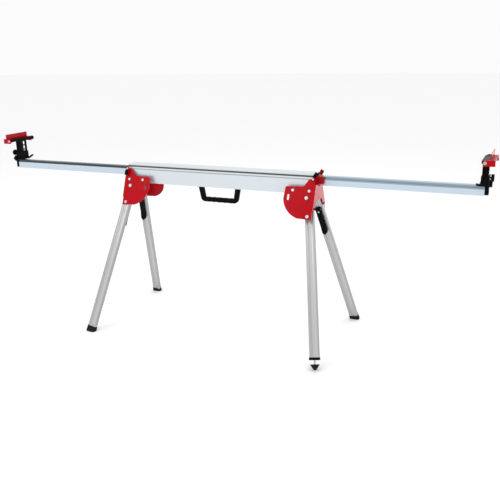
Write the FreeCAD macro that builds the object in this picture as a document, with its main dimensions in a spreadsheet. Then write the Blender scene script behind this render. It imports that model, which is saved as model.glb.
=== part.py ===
import FreeCAD, Part
import math
import os
import re

import Sketcher

# Folding stand for a mitre saw, in millimetres. +X runs along the beam, -Y is the front,
# +Z is up, and the origin is on the floor below the middle of the beam. The right-hand
# and left-hand ends are the same parts turned half round about Z, so each piece is drawn
# once for one end or one corner and then turned.

sizes = {
    # beam
    "standHeight": 813,
    "beamLength": 988,
    "beamWidth": 64,
    "beamHeight": 93,
    "beamWall": 2.5,
    "lipHeight": 8,
    "grooveHeight": 4,
    "grooveDepth": 3,
    "stepDrop": 23,
    "stepHeight": 3,
    "stepDepth": 1,
    # sliding arms and the gaps they run in
    "armHeight": 42,
    "armWall": 2,
    "armGap": 1.4,
    "slideGap": 0.3,
    "armSideGap": 0.5,
    "armReach": 1212,
    "armOverlap": 150,
    "armGrooveDrop": 3,
    "armGrooveHeight": 8,
    "armGrooveDepth": 4,
    # end caps
    "capThickness": 7,
    "capRise": 4,
    "guideLength": 36,
    "guideWidth": 11,
    "guideDrop": 2,
    "guideRise": 9,
    # leg brackets
    "plateThickness": 3.5,
    "plateReach": 143,
    "plateDrop": 185,
    "plateTop": 39,
    "plateEdgeDrop": 97,
    "plateFoot": 67,
    "plateArc": 106,
    "hornBase": 53,
    "hornTop": 33,
    "hornDrop": 2,
    "hingeDrop": 23,
    "hingeGap": 0.4,
    "webThickness": 3.5,
    "webTopDrop": 22,
    "webArchDrop": 98,
    "webFootDrop": 135,
    "webStrip": 27,
    "webHaunch": 9,
    "boltDrop": 56,
    "boltOuter": 24,
    "boltInner": 102,
    "boltRadius": 4,
    "boltHeadRadius": 7.5,
    "boltHeadHeight": 4.5,
    "spacerRadius": 6.5,
    "slotReach": 88,
    "slotWidth": 10,
    "slotLength": 28,
    "slotDrop": 0.5,
    # legs
    "legWebGap": 11,
    "pivotDrop": 88,
    "pivotRadius": 6,
    "pivotHeadRadius": 9,
    "pivotHeadHeight": 4.5,
    "bushRadius": 11,
    "runningGap": 0.06,
    "faceGap": 0.5,
    "legLean": 9.8,
    "footSpread": 318,
    "legWidth": 44,
    "legDepth": 22,
    "legWall": 2,
    "legCorner": 5,
    "legTop": 12,
    "legPlateGap": 1.5,
    "legLayerGap": 6,
    "lockDrop": 84.5,
    "lockRadius": 4.5,
    "lockRingRadius": 7.5,
    "lockRingHeight": 2.5,
    # lock levers on the legs
    "leverWidth": 25,
    "leverStart": 62.5,
    "leverEnd": 207,
    "leverThickness": 12,
    "leverFlare": 7,
    "leverGap": 0.6,
    "leverPinDrop": 70.5,
    "leverPinRise": 6.5,
    "leverPinRadius": 2.5,
    "leverEyeRadius": 7.5,
    "earThickness": 3,
    "earSideGap": 0.5,
    # feet
    "bootWall": 2,
    "bootSleeve": 20,
    "bootSole": 14,
    "levelHeight": 53,
    "collarSleeve": 6,
    "collarPlate": 6,
    "stemRadius": 4.5,
    "stemInside": 26,
    "padRadius": 22.5,
    "padHeight": 24,
    "padTipRadius": 5,
    "padTipRound": 2.5,
    # cam levers at the beam ends
    "camInset": 10,
    "camPivotDrop": 4,
    "camLength": 30,
    "camWidth": 13,
    "camThickness": 4,
    "camStandoff": 6,
    "camGripLength": 26,
    "camGripWidth": 17,
    "camGripThickness": 6,
    "camBossRadius": 6.5,
    "camPinRadius": 2.5,
    "camLeanLow": 4,
    "camLeanHigh": 152,
    # carry handle
    "handleLength": 222,
    "handleTaper": 12,
    "handleDrop": 78,
    "handleGrip": 24,
    "handleDepth": 24,
    "handleFlange": 6,
    "handleFlangeReach": 6,
    "handleScrewRadius": 3,
    # work supports at the arm ends
    "baseInset": 22,
    "baseFloorGap": 0.4,
    "baseDeck": 9,
    "baseWidth": 54,
    "basePlug": 16,
    "sleeveHeight": 42,
    "sleeveWall": 3,
    "postInset": 13,
    "postDepth": 27,
    "postFront": 25,
    "postWindow": 18,
    "postRod": 9,
    "postRodDepth": 8,
    "postHeight": 88,
    "postLift": 4,
    "postGap": 0.4,
    "rungHeight": 5,
    "barLength": 150,
    "barHeight": 13,
    "barBoss": 8,
    "stopThickness": 3,
    "stopReach": 39,
    "stopPlateReach": 19,
    "stopHeight": 27,
    "stopRise": 8.5,
    "stopAxisRise": 4.5,
    "stopGap": 2,
    "stopArmHeight": 24,
    "stopBoltRadius": 3,
    "stopBoltHead": 7,
    "stopBoltHeight": 4,
    "stopKnobRadius": 10,
    "stopKnobLength": 18,
    "heightKnobRadius": 14.5,
    "heightKnobLength": 12,
    "heightKnobRise": 37,
    "heightKnobSide": 16,
    "heightKnobGap": 6,
    "screwRadius": 3,
    "tabSize": 22,
    "tabThickness": 10,
    "tabSide": 33,
    "clampLength": 40,
    "clampWidth": 8,
    "clampThickness": 9,
    "clampSide": 17,
    "clampRise": 11,
    "clampPinRadius": 2.5,
}

doc = FreeCAD.newDocument("SawStand")
sheet = doc.addObject("Spreadsheet::Sheet", "Sizes")
calculator = doc.addObject("App::FeaturePython", "Calculator")
calculator.addProperty("App::PropertyFloat", "Result")


def addSize(alias, number):
    """Put one more named number in the sheet."""
    row = len(sheetRows) + 1
    sheetRows.append(alias)
    sheet.set(f"A{row}", alias)
    sheet.set(f"B{row}", repr(float(number)))
    sheet.setAlias(f"B{row}", alias)


sheetRows = []
for alias, number in sizes.items():
    addSize(alias, number)
doc.recompute()


def formula(text):
    """The text as an expression of the sheet's cells."""
    return re.sub(r"[A-Za-z]\w*", lambda word: qualified(word.group()), str(text))


def qualified(word):
    return f"Sizes.{word}" if word in sheetRows else word


def amount(text):
    """What an expression of the sheet's cells comes to."""
    calculator.setExpression("Result", formula(text))
    calculator.recompute()
    return float(calculator.Result)


def vector(x, y, z):
    return FreeCAD.Vector(amount(x), amount(y), amount(z))


# ---- sizes that follow from the driving ones -------------------------------------------

def derive(alias, text):
    addSize(alias, amount(text))
    sheet.recompute()


derive("beamBottom", "standHeight - beamHeight")
derive("armTop", "standHeight - lipHeight - grooveHeight - 0.7 * beamWall - slideGap")
derive("armBottom", "armTop - armHeight")
derive("chamberHalf", "beamWidth / 2 - beamWall - 0.3")
derive("armOuter", "chamberHalf - armSideGap")
derive("armInner", "armGap / 2")
derive("webX", "beamLength / 2 + capThickness")
derive("pivotX", "webX - legWidth / 2 - legWebGap")
derive("camPivotX", "webX - camInset")
derive("hingeHeight", "standHeight - hingeDrop")
derive("webTop", "hingeHeight - webTopDrop")
derive("webArch", "hingeHeight - webArchDrop")
derive("webFoot", "hingeHeight - webFootDrop")
derive("baseStart", "armReach - baseInset")
derive("postX", "armReach - postInset")
derive("faceY", "beamWidth / 2 + hingeGap")
derive("outerLayer", "legPlateGap + legDepth / 2")
derive("innerLayer", "outerLayer + legDepth + legLayerGap")


def tiltFor(layer):
    """The bracket's slope that puts this layer's feet at footSpread."""
    run = amount("footSpread - faceY")
    rise = amount("hingeHeight")
    return math.degrees(math.atan2(run, rise) + math.asin(amount(layer) / math.hypot(run, rise)))


def reachFor(layer, tilt):
    """Pivot to floor along the leg's own axis."""
    slope = math.radians(tilt)
    lean = math.radians(amount("legLean"))
    drop = amount("hingeHeight") - amount("pivotDrop") * math.cos(slope)
    return (drop - amount(layer) * math.sin(slope)) / math.cos(slope) / math.cos(lean)


for layer in ("outer", "inner"):
    tilt = tiltFor(f"{layer}Layer")
    addSize(f"{layer}Tilt", tilt)
    addSize(f"{layer}Reach", reachFor(f"{layer}Layer", tilt))



def liftOfPad():
    """How far up the leg the pad's flat tip starts, so that its rounded edge meets the floor."""
    tilt = math.acos(math.cos(math.radians(amount("innerTilt"))) * math.cos(math.radians(amount("legLean"))))
    flare = math.atan2(amount("padRadius - padTipRadius"), amount("padHeight"))
    edge = amount("padTipRound")
    inset = amount("padTipRadius") - edge * math.tan((math.pi / 2 - flare) / 2)
    return (inset * math.sin(tilt) + edge * (1 - math.cos(tilt))) / math.cos(tilt)


addSize("padLift", liftOfPad())
sheet.recompute()

halfTurn = FreeCAD.Placement(FreeCAD.Vector(), FreeCAD.Rotation(FreeCAD.Vector(0, 0, 1), 180))
planeAxes = {"XY_Plane": (0, 1), "XZ_Plane": (0, 2), "YZ_Plane": (1, 2)}
axisTurns = {
    "X": FreeCAD.Rotation(FreeCAD.Vector(0, 1, 0), 90),
    "Y": FreeCAD.Rotation(FreeCAD.Vector(1, 0, 0), -90),
    "Z": FreeCAD.Rotation(),
}
nodes = []


# ---- drawing helpers -------------------------------------------------------------------

def bind(piece, **properties):
    for name, text in properties.items():
        piece.setExpression(name.replace("_", "."), formula(text))


def loopEdges(points):
    """(start, end, radius) of each edge, anticlockwise; radius is None on a straight one."""
    corners = [(point[0], point[1]) for point in points]
    radii = [point[2] if len(point) == 3 else None for point in points]
    places = [(amount(x), amount(y)) for x, y in corners]
    following = list(range(1, len(points))) + [0]
    area = sum(places[i][0] * places[j][1] - places[j][0] * places[i][1]
               for i, j in enumerate(following))
    edges = [(i, j, radii[i]) for i, j in enumerate(following)]
    if area < 0:
        edges = [(j, i, radius) for i, j, radius in reversed(edges)]
    return corners, places, edges


def arcBetween(start, end, radius):
    """The short arc that bulges to the right of the way from start to end."""
    chord = end - start
    sagitta = radius - math.sqrt(radius * radius - chord.Length ** 2 / 4)
    outward = FreeCAD.Vector(chord.y, -chord.x, 0).normalize()
    return Part.Arc(start, (start + end) * 0.5 + outward * sagitta, end)


def drawLoop(sketch, points):
    """One closed loop, every corner held by sheet-bound distances from the origin."""
    corners, places, edges = loopEdges(points)
    first = sketch.GeometryCount
    for start, end, radius in edges:
        ends = [FreeCAD.Vector(*places[k], 0) for k in (start, end)]
        curve = Part.LineSegment(*ends) if radius is None else arcBetween(*ends, amount(radius))
        sketch.addGeometry(curve)
    for number, (start, end, radius) in enumerate(edges):
        edge = first + number
        nextEdge = first + (number + 1) % len(edges)
        sketch.addConstraint(Sketcher.Constraint("Coincident", edge, 2, nextEdge, 1))
        for kind, text, place in zip(("DistanceX", "DistanceY"), corners[start], places[start]):
            index = sketch.addConstraint(Sketcher.Constraint(kind, -1, 1, edge, 1, place))
            sketch.setExpression(f"Constraints[{index}]", formula(text))
        if radius is not None:
            index = sketch.addConstraint(Sketcher.Constraint("Radius", edge, amount(radius)))
            sketch.setExpression(f"Constraints[{index}]", formula(radius))


def drawCircle(sketch, x, y, radius):
    centre = FreeCAD.Vector(amount(x), amount(y), 0)
    edge = sketch.addGeometry(Part.Circle(centre, FreeCAD.Vector(0, 0, 1), amount(radius)))
    for kind, text, place in (("DistanceX", x, centre.x), ("DistanceY", y, centre.y)):
        index = sketch.addConstraint(Sketcher.Constraint(kind, -1, 1, edge, 3, place))
        sketch.setExpression(f"Constraints[{index}]", formula(text))
    index = sketch.addConstraint(Sketcher.Constraint("Radius", edge, amount(radius)))
    sketch.setExpression(f"Constraints[{index}]", formula(radius))


def cornerEdges(shape, plane, corners):
    """Names of the straight edges that stand on these corners of the sketch."""
    across = planeAxes[plane]
    wanted = [tuple(amount(text) for text in corner) for corner in corners]
    names = []
    for number, edge in enumerate(shape.Edges, start=1):
        ends = [tuple(vertex.Point[axis] for axis in across) for vertex in edge.Vertexes]
        for corner in wanted:
            if all(math.dist(end, corner) < 0.001 for end in ends):
                names.append(f"Edge{number}")
    return names


def extrusion(name, plane, points, length, holes=(), circles=(), rounds=()):
    """A body padded from one plane: an outline, holes in it, and corners to round off."""
    body = doc.addObject("PartDesign::Body", name)
    sketch = body.newObject("Sketcher::SketchObject", f"{name}Sketch")
    base = [item for item in body.Origin.OriginFeatures if item.Role == plane]
    sketch.AttachmentSupport = [(base[0], "")]
    sketch.MapMode = "FlatFace"
    drawLoop(sketch, points)
    for hole in holes:
        drawLoop(sketch, hole)
    for circle in circles:
        drawCircle(sketch, *circle)
    pad = body.newObject("PartDesign::Pad", f"{name}Pad")
    pad.Profile = sketch
    bind(pad, Length=length)
    doc.recompute()
    for number, (radius, standing) in enumerate(rounds):
        before = body.Tip
        fillet = body.newObject("PartDesign::Fillet", f"{name}Fillet{number}")
        fillet.Base = (before, cornerEdges(before.Shape, plane, standing))
        bind(fillet, Radius=radius)
        doc.recompute()
    return body


def box(name, x, y, z):
    """A block between two expressions on each axis."""
    piece = doc.addObject("Part::Box", name)
    bind(piece, Length=f"({x[1]}) - ({x[0]})", Width=f"({y[1]}) - ({y[0]})",
         Height=f"({z[1]}) - ({z[0]})")
    bind(piece, Placement_Base_x=x[0], Placement_Base_y=y[0], Placement_Base_z=z[0])
    return piece


def rod(name, radius, start, length, axis="Z"):
    """A cylinder that runs from start along +axis."""
    piece = doc.addObject("Part::Cylinder", name)
    piece.Placement.Rotation = axisTurns[axis]
    bind(piece, Radius=radius, Height=length)
    bind(piece, Placement_Base_x=start[0], Placement_Base_y=start[1], Placement_Base_z=start[2])
    return piece


def cut(name, base, *tools):
    piece = doc.addObject("Part::Cut", name)
    piece.Base = base
    piece.Tool = tools[0] if len(tools) == 1 else group(f"{name}Tools", *tools)
    return piece


def join(name, *pieces):
    piece = doc.addObject("Part::MultiFuse", name)
    piece.Shapes = list(pieces)
    piece.Refine = True
    return piece


def common(name, first, second):
    piece = doc.addObject("Part::MultiCommon", name)
    piece.Shapes = [first, second]
    return piece


def group(name, *pieces):
    piece = doc.addObject("Part::Compound", name)
    piece.Links = list(pieces)
    return piece


def rounded(name, base, radius, test):
    """Round the edges of base that pass the test."""
    doc.recompute()
    size = amount(radius)
    piece = doc.addObject("Part::Fillet", name)
    piece.Base = base
    piece.Edges = [(number, size, size)
                   for number, edge in enumerate(base.Shape.Edges, start=1) if test(edge)]
    return piece


def node(piece, name, placement=None):
    """Keep a piece as one named sub-part of the stand."""
    piece.Label = name
    if placement is not None:
        piece.Placement = placement.multiply(piece.Placement)
    nodes.append(piece)
    return piece


def mirrored(points):
    return points + [(f"-({point[0]})", *point[1:]) for point in reversed(points)]


def rectangle(x, y):
    return [(x[0], y[0]), (x[1], y[0]), (x[1], y[1]), (x[0], y[1])]


def roundedSection(width, depth):
    """Corners of a rectangle centred on the sketch's origin."""
    half = (f"({width}) / 2", f"({depth}) / 2")
    low = tuple(f"-({side})" for side in half)
    return rectangle((low[0], half[0]), (low[1], half[1]))


# ---- frames of the four corners --------------------------------------------------------

def plateFrame(layer, turned):
    """Origin where the bracket's inner face meets the beam side; y up the slope, z out."""
    lift = FreeCAD.Rotation(FreeCAD.Vector(1, 0, 0), 90 - amount(f"{layer}Tilt"))
    frame = FreeCAD.Placement(vector("0", "-faceY", "hingeHeight"), lift)
    return halfTurn.multiply(frame) if turned else frame


def legFrame(side, layer, turned):
    """Origin at the leg's pivot, -y down the leg, z out through the bracket plate."""
    lean = FreeCAD.Rotation(FreeCAD.Vector(0, 0, 1), side * amount("legLean"))
    pivot = FreeCAD.Placement(vector(f"{side} * pivotX", "-pivotDrop", "0"), lean)
    return plateFrame(layer, turned).multiply(pivot)


# The plates' own left or right is `side`; a turned corner is at the rear.
corners = [
    ("front_left", -1, "outer", False),
    ("front_right", 1, "inner", False),
    ("rear_right", -1, "outer", True),
    ("rear_left", 1, "inner", True),
]


# ---- beam and end caps -----------------------------------------------------------------

def makeBeam():
    wide = "beamWidth / 2"
    step = ("standHeight - stepDrop - stepHeight", "standHeight - stepDrop")
    groove = ("standHeight - lipHeight - grooveHeight", "standHeight - lipHeight")
    right = [(wide, "beamBottom")]
    for (low, high), depth in ((step, "stepDepth"), (groove, "grooveDepth")):
        right += [(wide, low), (f"{wide} - {depth}", low), (f"{wide} - {depth}", high), (wide, high)]
    right += [(wide, "standHeight")]
    chambers = [
        ("chamberHalf", "beamBottom + beamWall", "armBottom - slideGap - 0.8 * beamWall"),
        ("chamberHalf", "armBottom - slideGap", "armTop + slideGap"),
        (f"{wide} - grooveDepth - beamWall", "armTop + slideGap + 0.8 * beamWall",
         "standHeight - beamWall"),
    ]
    holes = [rectangle((f"-({half})", half), (low, high)) for half, low, high in chambers]
    beam = extrusion("Beam", "YZ_Plane", mirrored(right), "beamLength", holes)
    bind(beam, Placement_Base_x="-beamLength / 2")
    node(beam, "beam")


def makeEndCap(name, turned):
    """Moulded cap with a window for the arm and a guide block beside it."""
    window = rectangle(("armInner - slideGap", "chamberHalf"),
                       ("armBottom - slideGap", "armTop + slideGap"))
    half = "beamWidth / 2"
    outline = rectangle((f"-{half}", half), ("armBottom - slideGap - capRise",
                                             "armTop + slideGap + capRise"))
    plate = extrusion(f"{name}Plate", "YZ_Plane", outline, "capThickness", [window],
                      rounds=[("3", outline)])
    block = box(f"{name}Block", ("0", "guideLength"), ("-guideWidth - 0.3", "-0.3"),
                ("armBottom + guideRise", "armTop - guideDrop"))
    soft = rounded(f"{name}Soft", block, "0.45 * guideWidth",
                   lambda edge: edge.CenterOfMass.x > 0.9 * amount("guideLength"))
    cap = join(name, plate, soft)
    cap.Placement.Base = vector("beamLength / 2", "0", "0")
    node(cap, name, halfTurn if turned else FreeCAD.Placement())


# ---- sliding arms ----------------------------------------------------------------------

def makeArm(name, turned):
    """Grooved tube that runs in one half of the beam, drawn for the rear of the right end."""
    low, high = "armInner", "armOuter"
    groove = ("armTop - armGrooveDrop - armGrooveHeight", "armTop - armGrooveDrop")
    outline = [(low, "armBottom"), (high, "armBottom"), (high, groove[0]),
               (f"{high} - armGrooveDepth", groove[0]), (f"{high} - armGrooveDepth", groove[1]),
               (high, groove[1]), (high, "armTop"), (low, "armTop"), (low, groove[1]),
               (f"{low} + armGrooveDepth", groove[1]), (f"{low} + armGrooveDepth", groove[0]),
               (low, groove[0])]
    inner = rectangle((f"{low} + armWall", f"{high} - armWall"),
                      ("armBottom + armWall", f"{groove[0]} - armWall"))
    length = "armReach - beamLength / 2 + armOverlap"
    arm = extrusion(f"Arm{name}", "YZ_Plane", outline, length, [inner])
    arm.Placement.Base = vector("beamLength / 2 - armOverlap", "0", "0")
    node(arm, f"arm_{name}", halfTurn if turned else FreeCAD.Placement())


# ---- leg brackets ----------------------------------------------------------------------

def slotEdges(x, y, width, length):
    """A round-ended slot that stands up the plate."""
    left, right = f"({x}) - ({width}) / 2", f"({x}) + ({width}) / 2"
    low = f"({y}) - (({length}) - ({width})) / 2"
    high = f"({y}) + (({length}) - ({width})) / 2"
    return [(left, low, f"0.5001 * ({width})"), (right, low),
            (right, high, f"0.5001 * ({width})"), (left, high)]


def sidePlate(corner, side, layer, turned):
    """Side plate: a horn up the beam, a straight top edge and an arc about the pivot."""
    lean = math.radians(amount("legLean"))
    outline = [
        ("webX - plateFoot", "2.5 - plateDrop"),
        ("webX", "-plateDrop"),
        ("webX", "1.04 * (webTop - hingeHeight)"),
        ("webX - 2", "-hornDrop"),
        ("webX - hornTop", "-hornDrop - 2"),
        ("webX - hornBase", "-plateTop + 2"),
        ("webX - plateReach + 4", "-plateTop"),
        ("webX - plateReach", "-plateEdgeDrop", "plateArc"),
    ]
    lockX = amount("pivotX") + amount("lockDrop") * math.sin(lean)
    lockY = -amount("pivotDrop") - amount("lockDrop") * math.cos(lean)
    circles = [("pivotX", "-pivotDrop", "pivotRadius"), (lockX, lockY, "lockRadius + 1"),
               ("webX - boltOuter", "-boltDrop", "boltRadius"),
               ("webX - boltInner", "-boltDrop", "boltRadius")]
    slot = slotEdges("pivotX - slotReach", "-pivotDrop - slotDrop", "slotWidth", "slotLength")

    def flipped(points):
        return [(f"{side} * ({point[0]})", *point[1:]) for point in points]

    rounds = [("8", flipped(outline[6:7])), ("4", flipped(outline[3:5])),
              ("6", flipped(outline[5:6]))]
    plate = extrusion(f"Plate_{corner}", "XY_Plane", flipped(outline), "plateThickness",
                      [flipped(slot)], flipped(circles), rounds)
    plate.Placement = plateFrame(layer, turned)
    return plate


def endPlate(name):
    """End plate from the outer face of the inner layer's plate to the outer layer's."""
    def faceAt(height, layer, sign):
        slope = math.radians(amount(f"{layer}Tilt"))
        drop = amount("hingeHeight") - amount(height)
        thickness = amount("plateThickness") / math.cos(slope)
        return sign * (amount("faceY") + drop * math.tan(slope) + thickness)

    front = {height: faceAt(height, "inner", -1) for height in ("webFoot", "webArch", "webTop")}
    rear = {height: faceAt(height, "outer", 1) for height in ("webFoot", "webArch", "armBottom")}
    outline = [
        (front["webFoot"], "webFoot"),
        (f"{front['webFoot']} + webStrip", "webFoot"),
        (f"{front['webArch']} + webStrip + webHaunch", "webArch"),
        (f"{rear['webArch']} - webStrip - webHaunch", "webArch"),
        (f"{rear['webFoot']} - webStrip", "webFoot"),
        (rear["webFoot"], "webFoot"),
        (rear["armBottom"], "armBottom - slideGap - 1"),
        ("-guideWidth - 1", "armBottom - slideGap - 1"),
        ("-guideWidth - 1", "webTop"),
        (front["webTop"], "webTop"),
    ]
    web = extrusion(f"Web{name}", "YZ_Plane", outline, "webThickness",
                    rounds=[("10", outline[2:4])])
    web.Placement.Base = vector("webX", "0", "0")
    return web


def makeBracket(name, turned):
    """One bent sheet: the end plate and the side plates of both corners of this end."""
    plates = [sidePlate(f"front_{name}", 1, "inner", False), sidePlate(f"rear_{name}", -1, "outer", True)]
    bracket = join(f"Bracket_{name}", endPlate(name), *plates)
    node(bracket, f"bracket_{name}", halfTurn if turned else FreeCAD.Placement())


def makeBolt(name, headRadius, headHeight, shankRadius, shankLength):
    """Round head on z = 0 upwards, shank down from it."""
    head = rod(f"{name}Head", headRadius, ("0", "0", "0"), headHeight)
    dome = rounded(f"{name}Dome", head, f"0.6 * ({headHeight})",
                   lambda edge: edge.CenterOfMass.z > 0.5 * amount(headHeight)
                   and len(edge.Vertexes) == 1)
    shank = rod(f"{name}Shank", shankRadius, ("0", "0", f"-({shankLength})"), shankLength)
    return join(name, dome, shank)


def makeBracketFasteners():
    """Two bolts per plate, each with a standoff cut to the beam's side."""
    beamSide = box("BeamSide", ("-beamLength", "beamLength"), ("-beamWidth / 2", "beamWidth / 2"),
                   ("0", "2 * standHeight"))
    bolts, spacers = [], []
    for corner, side, layer, turned in corners:
        frame = plateFrame(layer, turned)
        for number, inset in enumerate(("boltOuter", "boltInner")):
            place = FreeCAD.Placement(vector(f"{side} * (webX - {inset})", "-boltDrop", "0"),
                                      FreeCAD.Rotation())
            name = f"BracketBolt_{corner}_{number}"
            bolt = makeBolt(name, "boltHeadRadius", "boltHeadHeight", "boltRadius - 0.1",
                            "plateThickness + 6")
            lift = FreeCAD.Placement(vector("0", "0", "plateThickness"), FreeCAD.Rotation())
            bolt.Placement = frame.multiply(place).multiply(lift)
            bolts.append(bolt)
            sleeve = rod(f"{name}Sleeve", "spacerRadius", ("0", "0", "-beamWidth / 2"),
                         "beamWidth / 2")
            bore = rod(f"{name}Bore", "boltRadius", ("0", "0", "-6.3"), "6.3")
            spacer = cut(f"{name}Spacer", sleeve, bore)
            spacer.Placement = frame.multiply(place)
            spacers.append(cut(f"{name}Standoff", spacer, beamSide))
    node(group("BracketBolts", *bolts), "bracket_bolts")
    node(group("BracketSpacers", *spacers), "bracket_spacers")


def makePivots():
    """Bolt, spacer bush and nut of each leg pivot, and the ring that each lock pin meets."""
    pivots, rings = [], []
    for corner, side, layer, turned in corners:
        name = f"Pivot_{corner}"
        far = f"{layer}Layer + legDepth / 2"
        bolt = makeBolt(f"{name}Bolt", "pivotHeadRadius", "pivotHeadHeight",
                        "pivotRadius - runningGap", f"plateThickness + {far} + 8")
        bolt.Placement.Base = vector("0", "0", "plateThickness")
        bush = rod(f"{name}Bush", "bushRadius", ("0", "0", f"-({layer}Layer - legDepth / 2) + faceGap"),
                   f"{layer}Layer - legDepth / 2 - faceGap")
        nut = rod(f"{name}Nut", "pivotHeadRadius", ("0", "0", f"-({far}) - faceGap - 6"), "6")
        whole = join(name, bolt, bush, nut)
        whole.Placement = legFrame(side, layer, turned)
        pivots.append(whole)

        disc = rod(f"LockDisc_{corner}", "lockRingRadius", ("0", "-lockDrop", "plateThickness"),
                   "lockRingHeight")
        neck = rod(f"LockNeck_{corner}", "lockRadius + 0.9", ("0", "-lockDrop", "0"),
                   "plateThickness")
        ring = join(f"LockRing_{corner}", disc, neck)
        ring.Placement = legFrame(side, layer, turned)
        rings.append(ring)
    node(group("LegPivots", *pivots), "leg_pivot_bolts")
    node(group("LockRings", *rings), "leg_lock_rings")


# ---- legs ------------------------------------------------------------------------------

def sectionAt(name, width, depth, start, length, layer, holes=(), rounds=()):
    """A prism down the leg: a section round the tube's axis, from start for a length."""
    body = extrusion(name, "XZ_Plane", roundedSection(width, depth), length, holes, rounds=rounds)
    bind(body, Placement_Base_y=start, Placement_Base_z=f"-{layer}Layer")
    return body


def makeTube(corner, side, layer, turned, footGap):
    outer = roundedSection("legWidth", "legDepth")
    inner = roundedSection("legWidth - 2 * legWall", "legDepth - 2 * legWall")
    tube = sectionAt(f"Tube_{corner}", "legWidth", "legDepth", "legTop",
                     f"legTop + {layer}Reach - ({footGap})", layer, [inner],
                     [("legCorner", outer), ("legCorner - legWall", inner)])
    depth = f"-{layer}Layer - legDepth"
    pivot = rod(f"TubePivot_{corner}", "pivotRadius", ("0", "0", depth), "2 * legDepth")
    lock = rod(f"TubeLock_{corner}", "lockRadius + runningGap", ("0", "-lockDrop", depth),
               "2 * legDepth")
    node(cut(f"Leg_{corner}", tube, pivot, lock), f"leg_{corner}", legFrame(side, layer, turned))


def makeLever(corner, side, layer, turned):
    """Grip lever on the tube's inboard face, its hinge pin and the spring-out lock pin."""
    frame = legFrame(side, layer, turned)
    face = f"{layer}Layer + legDepth / 2"
    near, far = f"-({face} + leverGap)", f"-({face} + leverGap + leverThickness)"
    profile = [
        ("-leverPinDrop - 1", near),
        ("-leverStart", f"{near} - 3"),
        ("-leverStart", f"{far} + 4"),
        ("-leverStart - 14", far),
        ("-leverEnd + 48", far),
        ("-leverEnd", f"{far} - leverFlare"),
        ("-leverEnd", f"{near} - leverFlare - 1"),
        ("-leverEnd + 40", near),
    ]
    half = "leverWidth / 2"
    plan = mirrored([("4", "-leverEnd"), (half, "-leverEnd + 9"), (half, "-leverStart - 18"),
                     ("6", "-leverStart - 0.5")])
    side1 = extrusion(f"LeverSide_{corner}", "YZ_Plane", profile, "leverWidth")
    bind(side1, Placement_Base_x=f"-{half}")
    slab = extrusion(f"LeverPlan_{corner}", "XY_Plane", plan, "4 * leverThickness")
    bind(slab, Placement_Base_z=f"{far} - 2 * leverThickness")
    grip = common(f"LeverGrip_{corner}", side1, slab)
    pinZ = f"-({face} + leverPinRise)"
    bore = rod(f"LeverBore_{corner}", "leverPinRadius + runningGap",
               ("-leverWidth", "-leverPinDrop", pinZ), "2 * leverWidth", "X")
    eye = rod(f"LeverEye_{corner}", "leverEyeRadius", ("0", "-lockDrop - 1", f"{far} - 9"),
              "2 * leverThickness")
    node(cut(f"Lever_{corner}", grip, bore, eye), f"lock_lever_{corner}", frame)

    reach = f"{half} + earSideGap + earThickness"
    pin = rod(f"HingePin_{corner}", "leverPinRadius", (f"-({reach})", "-leverPinDrop", pinZ),
              f"2 * ({reach})", "X")
    ears = [box(f"Ear{place}_{corner}", (low, high), ("-leverPinDrop - 6", "-leverPinDrop + 6"),
                (f"{pinZ} - 5", f"-({face})"))
            for place, low, high in (("Low", f"-({reach})", f"-{half} - earSideGap"),
                                     ("High", f"{half} + earSideGap", reach))]
    node(join(f"Hinge_{corner}", pin, *ears), f"lever_hinge_{corner}", frame)

    lockPin = rod(f"LockPin_{corner}", "lockRadius", ("0", "-lockDrop", far),
                  f"{face} + leverGap + leverThickness - 0.3")
    node(group(f"LockPinNode_{corner}", lockPin), f"lock_pin_{corner}", frame)


def makeBoot(corner, side, layer, turned):
    """Rubber boot over the tube's end, cut flat where it stands on the floor."""
    outer = roundedSection("legWidth + 2 * bootWall", "legDepth + 2 * bootWall")
    inner = roundedSection("legWidth", "legDepth")
    block = sectionAt(f"BootBlock_{corner}", "legWidth + 2 * bootWall", "legDepth + 2 * bootWall",
                      f"-({layer}Reach - bootSole - bootSleeve)", "bootSleeve + 3 * bootSole",
                      layer, rounds=[("legCorner + bootWall", outer)])
    core = sectionAt(f"BootCore_{corner}", "legWidth", "legDepth",
                     f"-({layer}Reach - bootSole - 2 * bootSleeve)", "2 * bootSleeve",
                     layer, rounds=[("legCorner", inner)])
    boot = cut(f"BootShell_{corner}", block, core)
    boot.Placement = legFrame(side, layer, turned)
    reach = "2 * beamLength"
    ground = box(f"Ground_{corner}", (f"-{reach}", reach), (f"-{reach}", reach), ("-standHeight", "0"))
    node(cut(f"Boot_{corner}", boot, ground), f"boot_{corner}")


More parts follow.
